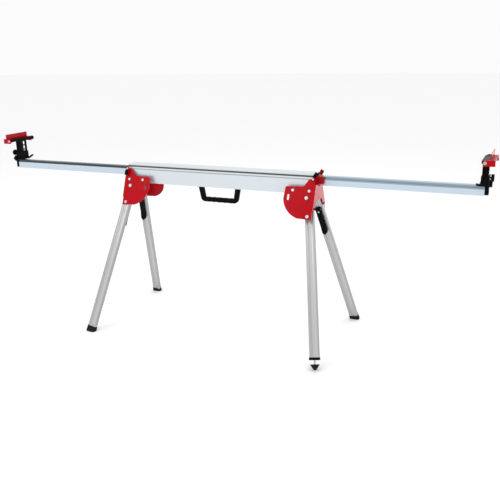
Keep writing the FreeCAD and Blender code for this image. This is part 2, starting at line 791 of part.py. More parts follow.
def makeLevellingFoot(corner, side, layer, turned):
    """Collar in the tube's end, and a screw stem with a cone-shaped pad."""
    frame = legFrame(side, layer, turned)
    end = f"-({layer}Reach - levelHeight)"
    outer = roundedSection("legWidth + 2 * bootWall", "legDepth + 2 * bootWall")
    inner = roundedSection("legWidth", "legDepth")
    block = sectionAt("CollarBlock", "legWidth + 2 * bootWall", "legDepth + 2 * bootWall",
                      f"{end} + collarSleeve", "collarSleeve + collarPlate", layer,
                      rounds=[("legCorner + bootWall", outer)])
    core = sectionAt("CollarCore", "legWidth", "legDepth", f"{end} + 2 * collarSleeve",
                     "2 * collarSleeve", layer, rounds=[("legCorner", inner)])
    bore = rod("CollarBore", "stemRadius + runningGap", ("0", f"{end} - 2 * collarPlate",
               f"-{layer}Layer"), "4 * collarPlate", "Y")
    node(cut("Collar", block, core, bore), f"level_collar_{corner}", frame)

    stem = rod("Stem", "stemRadius", ("0", f"-{layer}Reach + padHeight - 2", f"-{layer}Layer"),
               "levelHeight + stemInside - padHeight", "Y")
    node(group("StemNode", stem), f"level_stem_{corner}", frame)

    pad = doc.addObject("Part::Cone", "PadCone")
    pad.Placement.Rotation = axisTurns["Y"]
    bind(pad, Radius1="padTipRadius", Radius2="padRadius", Height="padHeight")
    bind(pad, Placement_Base_y=f"-{layer}Reach + padLift", Placement_Base_z=f"-{layer}Layer")
    soft = rounded("PadSoft", pad, "padTipRound",
                   lambda edge: edge.Length < 1.2 * math.tau * amount("padTipRadius")
                   and len(edge.Vertexes) == 1)
    socket = rod("PadSocket", "stemRadius", ("0", f"-{layer}Reach + padHeight - 2",
                 f"-{layer}Layer"), "padHeight", "Y")
    node(cut("Pad", soft, socket), f"level_pad_{corner}", frame)


# ---- cam levers at the beam ends -------------------------------------------------------

def camFrame(side, layer, turned):
    """At the top of a bracket horn; the lever points along its own -y."""
    raised = side == 1 and not turned or side == -1 and turned
    lean = amount("camLeanHigh") if raised else amount("camLeanLow")
    outward = FreeCAD.Rotation(FreeCAD.Vector(0, 0, 1), side * lean)
    pivot = FreeCAD.Placement(vector(f"{side} * camPivotX", "-camPivotDrop", "plateThickness"),
                              outward)
    return plateFrame(layer, turned).multiply(pivot)


def makeCamLever(corner, side, layer, turned):
    """Red cam lever with a black grip; raised at the right end, lowered at the left."""
    half = "camWidth / 2"
    plan = mirrored([(f"{half} - 3", "-camLength - 4"), (half, "-camLength + 2"),
                     (half, "5"), ("3", "camBossRadius")])
    arm = extrusion(f"CamArm_{corner}", "XY_Plane", plan, "camThickness")
    bind(arm, Placement_Base_z="camStandoff + faceGap")
    bore = rod(f"CamBore_{corner}", "camPinRadius + runningGap", ("0", "0", "0"),
               "camStandoff + 3 * camThickness")
    frame = camFrame(side, layer, turned)
    node(cut(f"Cam_{corner}", arm, bore), f"cam_lever_{corner}", frame)

    grip = box(f"CamGrip_{corner}", ("-camGripWidth / 2", "camGripWidth / 2"),
               ("-camLength - 4", "-camLength - 4 + camGripLength"),
               ("camStandoff + faceGap + camThickness",
                "camStandoff + faceGap + camThickness + camGripThickness"))
    soft = rounded(f"CamGripSoft_{corner}", grip, "0.35 * camGripThickness",
                   lambda edge: edge.CenterOfMass.z > amount("camStandoff + camThickness + 1"))
    node(soft, f"cam_grip_{corner}", frame)


def makeCamPins():
    pins = []
    for corner, side, layer, turned in corners:
        reach = "camStandoff + camThickness + 2 * faceGap"
        bolt = makeBolt(f"CamBolt_{corner}", "camPinRadius + 2", "2", "camPinRadius", reach)
        bolt.Placement.Base = vector("0", "0", reach)
        washer = rod(f"CamWasher_{corner}", "camBossRadius - 0.5", ("0", "0", "0"), "camStandoff")
        pin = join(f"CamPin_{corner}", bolt, washer)
        pin.Placement = camFrame(side, layer, turned)
        pins.append(pin)
    node(group("CamPins", *pins), "cam_pivot_pins")


# ---- carry handle ----------------------------------------------------------------------

def makeHandle():
    """Rigid moulded loop under the middle of the beam."""
    outer = mirrored([("handleLength / 2 - handleTaper - 10", "beamBottom - handleDrop"),
                      ("handleLength / 2 - handleTaper", "beamBottom - handleDrop + 10"),
                      ("handleLength / 2", "beamBottom - handleFlange"),
                      ("handleLength / 2 + handleFlangeReach", "beamBottom - handleFlange"),
                      ("handleLength / 2 + handleFlangeReach", "beamBottom")])
    innerHalf = "handleLength / 2 - handleGrip"
    inner = mirrored([(f"{innerHalf} - handleTaper", "beamBottom - handleDrop + handleGrip"),
                      (innerHalf, "beamBottom - handleFlange"), (innerHalf, "beamBottom + 20")])
    solid = extrusion("HandleSolid", "XZ_Plane", outer, "handleDepth",
                      rounds=[("9", [outer[1], outer[-2]])])
    bind(solid, Placement_Base_y="handleDepth / 2")
    gap = extrusion("HandleGap", "XZ_Plane", inner, "2 * handleDepth",
                    rounds=[("9", [inner[0], inner[-1]])])
    bind(gap, Placement_Base_y="handleDepth")
    loop = cut("HandleLoop", solid, gap)
    soft = rounded("Handle", loop, "5", lambda edge: edge.CenterOfMass.z
                   < amount("beamBottom - handleDrop + 0.6 * handleGrip")
                   and abs(edge.CenterOfMass.y) > 0.49 * amount("handleDepth"))
    node(soft, "carry_handle")

    screws = []
    for number, side in enumerate((-1, 1)):
        for row, depth in enumerate((-1, 1)):
            screw = makeBolt(f"HandleScrew_{number}{row}", "2 * handleScrewRadius", "2",
                             "handleScrewRadius", "1")
            flip = FreeCAD.Rotation(FreeCAD.Vector(1, 0, 0), 180)
            spot = vector(f"{side} * (handleLength / 2 - 0.5 * handleGrip)",
                          f"{depth} * handleDepth / 4", "beamBottom + beamWall + 2.2")
            screw.Placement = FreeCAD.Placement(spot, flip).multiply(
                FreeCAD.Placement(FreeCAD.Vector(0, 0, 0), FreeCAD.Rotation(FreeCAD.Vector(1, 0, 0), 180)))
            screws.append(screw)
    node(group("HandleScrews", *screws), "handle_screws")


# ---- work supports at the arm ends -----------------------------------------------------

def makeSupport(name, turned):
    """Base on the arm's end, height post, top bar and flip stop, drawn for the right end."""
    place = halfTurn if turned else FreeCAD.Placement()
    flip = -1 if turned else 1
    floor = "armTop + baseFloorGap"
    deckTop = f"{floor} + baseDeck"
    postEnd = "postX + postDepth"
    postLow = f"{deckTop} + postLift"

    # The post is the same way round at both ends, so the turned end draws its y flipped.
    def across(low, high):
        return (low, high) if flip == 1 else (f"-({high})", f"-({low})")

    front, rear = "-postFront + 5", "5 + postWindow + postRod"
    deck = box(f"Deck{name}", ("baseStart", f"{postEnd} + sleeveWall"),
               across("-baseWidth / 2 + 4", "baseWidth / 2 + 8"), (floor, deckTop))
    plug = box(f"EndPlug{name}", ("armReach + baseFloorGap", "armReach + basePlug"),
               ("armInner", "armOuter"), ("armBottom + 3", deckTop))
    sleeveY = across(f"{front} - sleeveWall", f"{rear} + sleeveWall")
    sleeve = box(f"Sleeve{name}", ("postX - sleeveWall", f"{postEnd} + sleeveWall"), sleeveY,
                 (f"{deckTop} - 1", f"{floor} + sleeveHeight"))
    hollow = box(f"SleeveHollow{name}", ("postX - postGap", f"{postEnd} + postGap"),
                 across(f"{front} - postGap", f"{rear} + postGap"),
                 (f"{deckTop} + 1", f"{floor} + 2 * sleeveHeight"))
    tab = box(f"Tab{name}", (f"{postEnd} + sleeveWall - 1", f"{postEnd} + sleeveWall + tabThickness"),
              ("-tabSize / 2", "tabSize / 2"), ("-tabSize / 2", "tabSize / 2"))
    turnedTab = group(f"TabTurned{name}", tab)
    turnedTab.Placement = FreeCAD.Placement(
        vector("0", "tabSide - 10", f"{deckTop} - 3"), FreeCAD.Rotation(FreeCAD.Vector(1, 0, 0), 45))
    clampZ = f"{floor} + baseDeck / 2"
    clampPin = rod(f"ClampPin{name}", "clampPinRadius",
                   ("baseStart - clampWidth - 2 * faceGap", "-clampSide", clampZ),
                   "clampWidth + 3 * faceGap", "X")
    base = join(f"BaseSolid{name}", deck, plug, cut(f"SleeveShell{name}", sleeve, hollow),
                turnedTab, clampPin)
    knobY = f"{-flip} * heightKnobSide"
    knobZ = f"{floor} + heightKnobRise"
    screwHole = rod(f"ScrewHole{name}", "screwRadius + runningGap",
                    ("postX + 0.5 * postDepth", knobY, knobZ), "2 * postDepth", "X")
    node(cut(f"Base{name}", base, screwHole), f"support_base_{name}", place)

    makePost(name, place, across, front, rear, postLow)
    barZ = f"{postLow} + postHeight"
    makeStop(name, place, f"{barZ} + stopAxisRise")

    knob = rod(f"HeightKnobDisc{name}", "heightKnobRadius",
               (f"{postEnd} + sleeveWall + heightKnobGap", knobY, knobZ), "heightKnobLength", "X")
    screw = rod(f"HeightScrew{name}", "screwRadius", (f"{postEnd} + postGap", knobY, knobZ),
                "sleeveWall + heightKnobGap", "X")
    node(join(f"HeightKnob{name}", knob, screw), f"height_knob_{name}", place)

    low, high = f"{clampZ} - clampThickness / 2", f"{clampZ} + clampThickness / 2"
    outline = [("-clampSide + 5", f"{low} + 1"), ("-clampSide + 5", high), ("-clampSide - 6", high),
               ("-clampSide - clampLength", f"{high} + clampRise"),
               ("-clampSide - clampLength", f"{low} + clampRise + 2"), ("-clampSide - 4", low)]
    clamp = extrusion(f"Clamp{name}", "YZ_Plane", outline, "clampWidth",
                      circles=[("-clampSide", clampZ, "clampPinRadius + runningGap")],
                      rounds=[("3", outline[:2] + outline[3:5])])
    bind(clamp, Placement_Base_x="baseStart - faceGap - clampWidth")
    node(group(f"ClampNode{name}", clamp), f"clamp_lever_{name}", place)


def makePost(name, place, across, front, rear, low):
    """Front post, rear rod and two rungs, with the top bar fixed across them."""
    high = f"{low} + postHeight"
    postX = ("postX", "postX + postDepth")
    rodX = ("postX", "postX + postRodDepth")
    pieces = [box(f"PostFront{name}", postX, across(front, "5"), (low, high)),
              box(f"PostRear{name}", rodX, across("5 + postWindow", rear), (low, high))]
    for number, rise in enumerate(("0", "0.42 * postHeight", "0.68 * postHeight",
                                   "postHeight - rungHeight")):
        rung = (f"{low} + {rise}", f"{low} + {rise} + rungHeight")
        pieces.append(box(f"Rung{number}{name}", rodX, across("4", f"{rear} - 1"), rung))
    node(join(f"Post{name}", *pieces), f"support_post_{name}", place)

    bar = box(f"BarBlock{name}", postX, ("-barLength / 2", "barLength / 2"),
              (high, f"{high} + barHeight"))
    boss = rod(f"BarBoss{name}", "barBoss", ("postX + postDepth / 2", "-barLength / 2", f"{high} + stopAxisRise"),
               "barLength", "Y")
    channel = box(f"BarChannel{name}", ("0", "2 * armReach"), ("-barLength / 2 + 14", "barLength / 2 - 14"),
                  (f"{high} - 20", high))
    trimmed = cut(f"BarBossEnds{name}", boss, channel)
    joined = join(f"BarJoined{name}", bar, trimmed)
    bore = rod(f"BarBore{name}", "stopBoltRadius", ("postX + postDepth / 2", "-barLength", f"{high} + stopAxisRise"),
               "2 * barLength", "Y")
    node(cut(f"Bar{name}", joined, bore), f"support_bar_{name}", place)


def makeStop(name, place, axisZ):
    """Red flip stop on the bar's two ends, its cross bolt and its knob."""
    axisX = "postX + postDepth / 2"
    end = "barLength / 2 + stopGap"
    flange = box(f"StopFlange{name}", (f"{axisX} + stopPlateReach", f"{axisX} + stopReach"),
                 (f"-({end})", f"{end} + stopThickness"),
                 (f"{axisZ} + stopRise - stopThickness + 2", f"{axisZ} + stopRise + 2"))
    blade = box(f"StopBlade{name}", (f"{axisX} + stopPlateReach", f"{axisX} + stopPlateReach + stopThickness"),
                (f"-({end})", f"{end} + stopThickness"),
                (f"{axisZ} + stopRise - 1", f"{axisZ} + stopRise - 1 + stopHeight"))
    arms = []
    for number, low in enumerate((f"-({end}) - stopThickness", end)):
        arms.append(box(f"StopArm{number}{name}", (f"{axisX} - 8", f"{axisX} + stopReach"),
                        (low, f"{low} + stopThickness"),
                        (f"{axisZ} + stopRise + 2 - stopArmHeight", f"{axisZ} + stopRise + 2")))
    bore = rod(f"StopBore{name}", "stopBoltRadius + runningGap", (axisX, "-barLength", axisZ),
               "2 * barLength", "Y")
    stop = cut(f"Stop{name}", join(f"StopSheet{name}", flange, blade, *arms), bore)
    node(stop, f"flip_stop_{name}", place)

    # The bolt's head faces the front at both ends.
    front = -1 if place == FreeCAD.Placement() else 1
    outer = f"{end} + stopThickness + faceGap"
    head = rod(f"StopHead{name}", "stopBoltHead",
               (axisX, outer if front == 1 else f"-({outer}) - stopBoltHeight", axisZ),
               "stopBoltHeight", "Y")
    inKnob = "0.4 * stopKnobLength"
    shank = rod(f"StopShank{name}", "stopBoltRadius",
                (axisX, f"-({outer})" if front == -1 else f"-({outer}) - {inKnob}", axisZ),
                f"2 * ({outer}) + {inKnob}", "Y")
    node(join(f"StopBolt{name}", head, shank), f"stop_bolt_{name}", place)
    knob = rod(f"StopKnobDisc{name}", "stopKnobRadius",
               (axisX, f"{outer} + faceGap" if front == -1 else f"-({outer}) - faceGap - stopKnobLength",
                axisZ), "stopKnobLength", "Y")
    soft = rounded(f"StopKnobSoft{name}", knob, "2", lambda edge: len(edge.Vertexes) == 1)
    bore = rod(f"StopKnobBore{name}", "stopBoltRadius + runningGap",
               (axisX, "0" if front == -1 else f"-({outer}) - {inKnob} - faceGap", axisZ),
               f"{outer} + {inKnob} + faceGap", "Y")
    node(cut(f"StopKnob{name}", soft, bore), f"stop_knob_{name}", place)


# ---- build -----------------------------------------------------------------------------

makeBeam()
for name, turned in (("right", False), ("left", True)):
    makeEndCap(f"end_cap_{name}", turned)
    makeArm(name, turned)
    makeBracket(name, turned)
    makeSupport(name, turned)
for corner, side, layer, turned in corners:
    levelling = corner == "front_right"
    makeTube(corner, side, layer, turned, "levelHeight" if levelling else "bootSole")
    makeLever(corner, side, layer, turned)
    makeCamLever(corner, side, layer, turned)
    if levelling:
        makeLevellingFoot(corner, side, layer, turned)
    else:
        makeBoot(corner, side, layer, turned)
makeBracketFasteners()
makePivots()
makeCamPins()
makeHandle()
doc.recompute()

faults = [item.Label for item in doc.Objects if {"Invalid", "Error"} & set(item.State)]
faults += [item.Label for item in nodes if item.Shape.isNull() or not item.Shape.isValid()]
if faults:
    raise RuntimeError(f"these did not build: {', '.join(faults)}")

os.makedirs("parts", exist_ok=True)
for item in nodes:
    item.Shape.exportStep(f"parts/{item.Label}.step")
    print(f"{item.Label}: {len(item.Shape.Solids)} solid(s), {item.Shape.Volume / 1000:.1f} cm3")
print(f"{len(nodes)} sub-parts")
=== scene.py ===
import math
import bmesh
import bpy
from mathutils import Matrix, Vector


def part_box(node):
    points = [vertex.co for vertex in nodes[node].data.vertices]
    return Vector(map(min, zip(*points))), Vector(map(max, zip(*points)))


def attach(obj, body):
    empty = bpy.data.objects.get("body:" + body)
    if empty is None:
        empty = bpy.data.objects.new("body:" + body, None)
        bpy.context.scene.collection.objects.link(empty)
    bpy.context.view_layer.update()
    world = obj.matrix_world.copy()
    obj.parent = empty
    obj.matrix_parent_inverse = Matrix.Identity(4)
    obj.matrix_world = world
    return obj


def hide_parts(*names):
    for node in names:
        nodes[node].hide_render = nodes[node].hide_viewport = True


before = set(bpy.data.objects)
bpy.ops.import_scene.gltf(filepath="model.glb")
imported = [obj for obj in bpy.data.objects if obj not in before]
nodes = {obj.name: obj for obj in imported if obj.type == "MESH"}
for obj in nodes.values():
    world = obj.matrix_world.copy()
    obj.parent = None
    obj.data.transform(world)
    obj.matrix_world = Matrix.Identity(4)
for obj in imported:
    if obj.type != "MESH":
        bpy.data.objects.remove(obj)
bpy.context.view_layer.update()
scene = bpy.context.scene
print("stage: frame loaded,", len(nodes), "nodes")


class Wire:
    # one output socket, so that shader maths reads as plain sums
    def __init__(self, finish, socket):
        self.finish = finish
        self.socket = socket

    def maths(self, operation, first, second):
        return self.finish.add("ShaderNodeMath", {"operation": operation}, {0: first, 1: second})

    def __add__(self, other):
        return self.maths("ADD", self, other)

    def __sub__(self, other):
        return self.maths("SUBTRACT", self, other)

    def __rsub__(self, other):
        return self.maths("SUBTRACT", other, self)

    def __mul__(self, other):
        return self.maths("MULTIPLY", self, other)

    __radd__ = __add__
    __rmul__ = __mul__


socketNames = {
    "colour": "Base Color",
    "roughness": "Roughness",
    "metallic": "Metallic",
    "coat": "Coat Weight",
    "coatRoughness": "Coat Roughness",
    "specular": "Specular IOR Level",
    "normal": "Normal",
}


class Finish:
    # a material with its Principled shader, and one method for every other node
    def __init__(self, name):
        self.material = bpy.data.materials.new(name)
        self.material.use_nodes = True
        self.tree = self.material.node_tree
        self.shader = self.tree.nodes["Principled BSDF"]

    def add(self, kind, settings, inputs, output=0):
        node = self.tree.nodes.new(kind)
        for name, value in settings.items():
            if name == "stops":
                elements = node.color_ramp.elements
                elements.remove(elements[0])
                for number, (place, level) in enumerate(value):
                    element = elements.new(place) if number else elements[0]
                    element.position = place
                    element.color = (level, level, level, 1)
            else:
                setattr(node, name, value)
        for name, value in inputs.items():
            self.feed(node.inputs[name], value)
        return Wire(self, node.outputs[output])

    def feed(self, socket, value):
        if isinstance(value, Wire):
            self.tree.links.new(value.socket, socket)
        else:
            socket.default_value = value

    def set(self, **values):
        for name, value in values.items():
            self.feed(self.shader.inputs[socketNames[name]], value)

    def place(self, turn=None):
        # Object coordinates, or the same in a piece's own turned frame
        where = self.add("ShaderNodeTexCoord", {}, {}, "Object")
        if turn is None:
            return where
        back = turn.inverted()
        inputs = {"Vector": where, "Location": back.to_translation(), "Rotation": back.to_euler("XYZ")}
        return self.add("ShaderNodeMapping", {"vector_type": "POINT"}, inputs)

    def stretched(self, where, factors):
        inputs = {0: where, 1: factors}
        return self.add("ShaderNodeVectorMath", {"operation": "MULTIPLY"}, inputs)

    def noise(self, where, scale, detail):
        inputs = {"Vector": where, "Scale": scale, "Detail": detail}
        return self.add("ShaderNodeTexNoise", {}, inputs, "Fac")

    def ramp(self, value, stops):
        return self.add("ShaderNodeValToRGB", {"stops": stops}, {"Fac": value}, "Color")

    def mix(self, factor, first, second):
        settings = {"data_type": "RGBA"}
        return self.add("ShaderNodeMix", settings, {0: factor, 6: first, 7: second}, 2)

    def axis(self, where, name):
        return self.add("ShaderNodeSeparateXYZ", {}, {0: where}, name)

    def bump(self, height, strength, distance):
        inputs = {"Height": height, "Strength": strength, "Distance": distance}
        return self.add("ShaderNodeBump", {}, inputs)


def shade(colour, share=1.0):
    # a colour with its alpha, or a darker or paler share of it
    return (*[share * channel for channel in colour], 1)


def drawnAluminium(name, colour, shadeTone, slots, roughness=0.36):
    # drawn along X: fine die lines, a soft cloudiness, and painted shade bands at the given heights where
    # grooves fall into shade
    finish = Finish(name)
    where = finish.place()
    lines = finish.noise(finish.stretched(where, (1.5, 260, 260)), 4, 4)
    clouds = finish.noise(where, 7, 2)
    height = finish.axis(where, "Z")
    softEdge = 0.0004
    shadeMask = 0
    for centre, half, depth in slots:
        # full depth of the painted shade inside the band, nought outside
        away = finish.add("ShaderNodeMath", {"operation": "ABSOLUTE"}, {0: height - centre})
        edge = {0: away, 1: half - softEdge, 2: half + softEdge, 3: depth, 4: 0}
        shadeMask = finish.add("ShaderNodeMapRange", {}, edge) + shadeMask
    tone = finish.mix(lines * 0.5 + clouds * 0.4, shade(colour, 0.86), shade(colour))
    # painted shade: the groove bands take the dark tone
    tone = finish.mix(shadeMask, tone, shade(shadeTone))
    finish.set(colour=tone, metallic=0.62, specular=0.6)
    finish.set(roughness=lines * 0.14 + clouds * 0.1 + (roughness - 0.12))
    finish.set(normal=finish.bump(lines, 0.22, 0.0004))
    return finish.material


def sprayedRed(name, colour, roughness):
    # gloss paint on sheet steel: orange peel, slight cloudiness, a thin clear coat
    finish = Finish(name)
    where = finish.place()
    peel = finish.noise(where, 420, 2)
    clouds = finish.noise(where, 14, 3)
    tone = finish.mix(clouds, shade(colour, 0.84), shade(colour))
    finish.set(colour=tone, specular=0.08, coatRoughness=0.1)
    finish.set(coat=clouds * 0.04 + 0.01, roughness=clouds * 0.12 + (roughness - 0.04))
    finish.set(normal=finish.bump(peel, 0.16, 0.0004))
    return finish.material


def plated(name, colour, roughness=0.2):
    # zinc plating or dark steel: bright, with small spangles
    finish = Finish(name)
    where = finish.place()
    spangle = finish.noise(where, 240, 3)
    clouds = finish.noise(where, 40, 2)
    tone = finish.mix(spangle, shade(colour, 0.8), shade(colour))
    finish.set(colour=tone, metallic=1.0)
    finish.set(roughness=spangle * 0.16 + clouds * 0.1 + (roughness - 0.08))
    finish.set(normal=finish.bump(spangle, 0.12, 0.0003))
    return finish.material


# brightness across the leg, painted shade and highlight for its rounded tube: darker at both edges and at
# two rolled grooves, lightest on a painted highlight band; from its shaded edge (0) to its highlighted one
# (1)
legShadeAndHighlight = [(0.0, 0.3), (0.09, 0.62), (0.2, 0.52), (0.34, 0.62), (0.385, 0.38), (0.43, 0.72),
            (0.6, 0.86), (0.635, 0.5), (0.7, 1.0), (0.88, 0.95), (0.94, 0.6), (1.0, 0.35)]


def satinTube(name, colour, turn, highlightSide):
    # leg tube: painted shade and highlight bands across it, and die lines along the leg's own length; the
    # painted highlight's side is 1 or -1, along its X
    finish = Finish(name)
    where = finish.place(turn)
    lines = finish.noise(finish.stretched(where, (150, 2.5, 150)), 3, 4)
    across = finish.axis(where, "X") * (highlightSide / stand["legWidth"]) + 0.5
    # painted shade and highlight across the leg's width
    paintedShading = finish.ramp(across, legShadeAndHighlight)
    scuffs = finish.noise(where, 26, 4)
    marks = finish.ramp(scuffs, [(0.62, 0), (0.75, 1)])
    tone = finish.mix(lines * 0.25 + paintedShading * 0.75, shade(colour, 0.4), shade(colour))
    tone = finish.mix(marks * 0.25, tone, shade(colour, 0.62))
    finish.set(colour=tone, metallic=0.75, specular=0.5)
    finish.set(roughness=lines * 0.12 + marks * 0.1 + 0.34)
    finish.set(normal=finish.bump(lines, 0.2, 0.0004))
    return finish.material


def moulded(name, colour, roughness=0.42, grain=900):
    # moulded plastic: fine spark-eroded grain and a few paler rubbed places
    finish = Finish(name)
    where = finish.place()
    fine = finish.noise(where, grain, 2)
    worn = finish.ramp(finish.noise(where, 38, 4), [(0.5, 0), (0.8, 1)])
    tone = finish.mix(worn, shade(colour), shade(colour, 1.9))
    finish.set(colour=tone, specular=0.03)
    finish.set(roughness=fine * 0.14 + worn * 0.1 + (roughness - 0.08))
    finish.set(normal=finish.bump(fine, 0.3, 0.0003))
    return finish.material


def rubber(name, colour):
    # matt, with a little pale dust
    finish = Finish(name)
    where = finish.place()
    fine = finish.noise(where, 520, 4)
    dust = finish.ramp(finish.noise(where, 60, 5), [(0.45, 0), (0.85, 1)])
    tone = finish.mix(dust, shade(colour), shade(colour, 2.6))
    finish.set(colour=tone, specular=0.05)
    finish.set(roughness=fine * 0.2 + dust * 0.1 + 0.5)
    finish.set(normal=finish.bump(fine, 0.4, 0.0004))
    return finish.material


tones = {
    "beam": (0.70, 0.76, 0.80),
    "arm": (0.60, 0.70, 0.80),
    # painted shade in the beam's grooves and undercut
    "slot": (0.12, 0.11, 0.09),
    # painted shadow in the left arm's groove, near black
    "armGrooveShadow": (0.03, 0.04, 0.045),
    "armShade": (0.20, 0.28, 0.34),
    "leg": (0.58, 0.58, 0.59),
    "red": (0.46, 0.0, 0.006),
    "redPlastic": (0.42, 0.002, 0.008),
    "zinc": (0.48, 0.53, 0.56),
    "black": (0.004, 0.004, 0.0042),
    "coat": (0.003, 0.003, 0.0033),
    "rubber": (0.010, 0.010, 0.010),
    "steel": (0.06, 0.06, 0.065),
}

# the stand's own measures, in metres and degrees, for pieces that sit on the legs and brackets
stand = {
    "faceY": 0.0324,
    "hingeHeight": 0.790,
    "pivotX": 0.468,
    "pivotDrop": 0.088,
    "lean": 9.8,
    "legWidth": 0.044,
    "legDepth": 0.022,
    "outer": {"tilt": 20.73, "layer": 0.0125, "reach": 0.7631},
    "inner": {"tilt": 22.64, "layer": 0.0405, "reach": 0.7622},
}
# each leg's side seen from its own face, its layer, and whether it is the half-turned copy
corners = {
    "front_left": (-1, "outer", False),
    "front_right": (1, "inner", False),
    "rear_right": (-1, "outer", True),
    "rear_left": (1, "inner", True),
}
levelledCorner = "front_right"  # has a levelling foot in place of a rubber boot


def plateMatrix(layer, turned):
    # origin on the bracket's bend line, y up the slope, z outward through the side plate
    lift = Matrix.Translation((0, -stand["faceY"], stand["hingeHeight"]))
    slope = Matrix.Rotation(math.radians(90 - stand[layer]["tilt"]), 4, "X")
    half = Matrix.Rotation(math.pi, 4, "Z") if turned else Matrix.Identity(4)
    return half @ lift @ slope


def legMatrix(corner):
    # origin at the leg's pivot on its tube's centre line, -y down the leg
    side, layer, turned = corners[corner]
    pivot = Matrix.Translation((side * stand["pivotX"], -stand["pivotDrop"], 0))
    lean = Matrix.Rotation(math.radians(side * stand["lean"]), 4, "Z")
    depth = Matrix.Translation((0, 0, -stand[layer]["layer"]))
    return plateMatrix(layer, turned) @ pivot @ lean @ depth


print("stage: finishes")
# middle height, half height and depth of tone of each painted shade band along the tubes, laid where a
# groove or undercut in the profile falls into shade
beamGrooveShade = [(0.8022, 0.0042, 1.0), (0.7885, 0.0024, 0.5)]
leftArmGrooveShade = [(0.7936, 0.0062, 0.95)]
rightArmGrooveShade = [(0.7905, 0.0085, 0.75)]
finishes = {
    "aluminium_beam": drawnAluminium("beamAluminium", tones["beam"], tones["slot"], beamGrooveShade),
    "aluminium_arm": drawnAluminium("rightArmAluminium", tones["arm"], tones["armShade"], rightArmGrooveShade),
    "red_plastic": sprayedRed("redMoulding", tones["redPlastic"], 0.36),
    "red_paint": sprayedRed("redEnamel", tones["red"], 0.28),
    "bright_zinc": plated("brightZinc", tones["zinc"]),
    "grey_paint": satinTube("satinLeg", tones["leg"], legMatrix("front_left"), 1),
    "black_plastic": moulded("blackMoulding", tones["black"]),
    "dark_steel": plated("darkSteel", tones["steel"], 0.34),
    "black_paint": moulded("blackEnamel", tones["coat"], 0.3, 600),
    "black_rubber": rubber("blackRubber", tones["rubber"]),
}
for node in nodes.values():
    for index, material in enumerate(node.data.materials):
        slotName = material.name.split(".")[0] if material else None
        if slotName in finishes:
            node.data.materials[index] = finishes[slotName]
# lit and shaded copies of one finish: the left arm's groove is painted as near-black shadow, the right arm's
# as a lighter painted shade
leftArmFinish = drawnAluminium("leftArmAluminium", tones["arm"], tones["armGrooveShadow"], leftArmGrooveShade)
nodes["arm_left"].data.materials[0] = leftArmFinish
legFinishes = {}
for corner, (side, layer, turned) in corners.items():
    legFinish = satinTube("satinLeg_" + corner, tones["leg"], legMatrix(corner), -1 if turned else 1)
    nodes["leg_" + corner].data.materials[0] = legFinish
    legFinishes[corner] = legFinish

tiny = 1e-6  # metres, for telling whether two points are level
smoothAngle = 38  # degrees, above which an edge stays sharp


def levelEdges(mesh, y):
    # the edges whose two ends both lie at height y of the mesh's own frame
    return [edge for edge in mesh.edges if all(abs(vert.co.y - y) < tiny for vert in edge.verts)]


def wholeOf(mesh):
    return mesh.verts[:] + mesh.edges[:] + mesh.faces[:]


def roundOff(mesh, edges, offset, steps, clamp=False):
    bmesh.ops.bevel(mesh, geom=list(edges), offset=offset, segments=steps, affect="EDGES", profile=0.5,
                    material=-1, clamp_overlap=clamp)


def addBlock(mesh, low, high, rounding, steps=2, along=None):
    # a block between two corners, with its edges rounded, or only those that run along one axis
    verts = bmesh.ops.create_cube(mesh, size=1)["verts"]
    low, high = Vector(low), Vector(high)
    bmesh.ops.scale(mesh, vec=high - low, verts=verts)
    bmesh.ops.translate(mesh, vec=(low + high) / 2, verts=verts)
    edges = set(edge for vert in verts for edge in vert.link_edges)
    if along is not None:
        edges = [e for e in edges if abs((e.verts[0].co - e.verts[1].co)[along]) > tiny]
    roundOff(mesh, edges, rounding, steps)


def addDisc(mesh, centre, axis, radius, height, rounding, topRadius):
    # a short cylinder or cone that stands on centre along axis, its two rims rounded
    made = bmesh.ops.create_cone(mesh, cap_ends=True, segments=24, radius1=radius,
                                 radius2=topRadius, depth=height)
    turn = Vector((0, 0, 1)).rotation_difference(Vector(axis)).to_matrix().to_4x4()
    lift = Matrix.Translation(Vector(centre) + Vector(axis).normalized() * height / 2)
    bmesh.ops.transform(mesh, matrix=lift @ turn, verts=made["verts"])
    caps = [f for f in set(f for v in made["verts"] for f in v.link_faces) if len(f.verts) > 4]
    rims = set(e for f in caps for e in f.edges)
    roundOff(mesh, rims, rounding, 2)


def finishPiece(mesh, name, body, slotName, finish=None, matrix=None):
    # the mesh takes its place, its normals and its finish, and rides on a body
    if matrix is not None:
        bmesh.ops.transform(mesh, matrix=matrix, verts=mesh.verts)
    bmesh.ops.recalc_face_normals(mesh, faces=mesh.faces)
    for face in mesh.faces:
        face.smooth = True
    data = bpy.data.meshes.new(name)
    mesh.to_mesh(data)
    mesh.free()
    data.set_sharp_from_angle(angle=math.radians(smoothAngle))
    data.materials.append(finish or finishes[slotName])
    piece = bpy.data.objects.new(name, data)
    scene.collection.objects.link(piece)
    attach(piece, body)
    return piece


print("stage: legs and feet")
ribs = {
    "places": (-0.0115, 0.0115),
    "half": 0.0045,
    "proud": 0.0007,
    "sunk": 0.001,
    "rounding": 0.0006,
    "outerFrom": 0.100,  # below the pivot, on the leg's outer face
    "innerFrom": 0.222,  # lower on the inner face, to clear the lever
    "endGap": 0.046,
    "levelEndGap": 0.066,
}


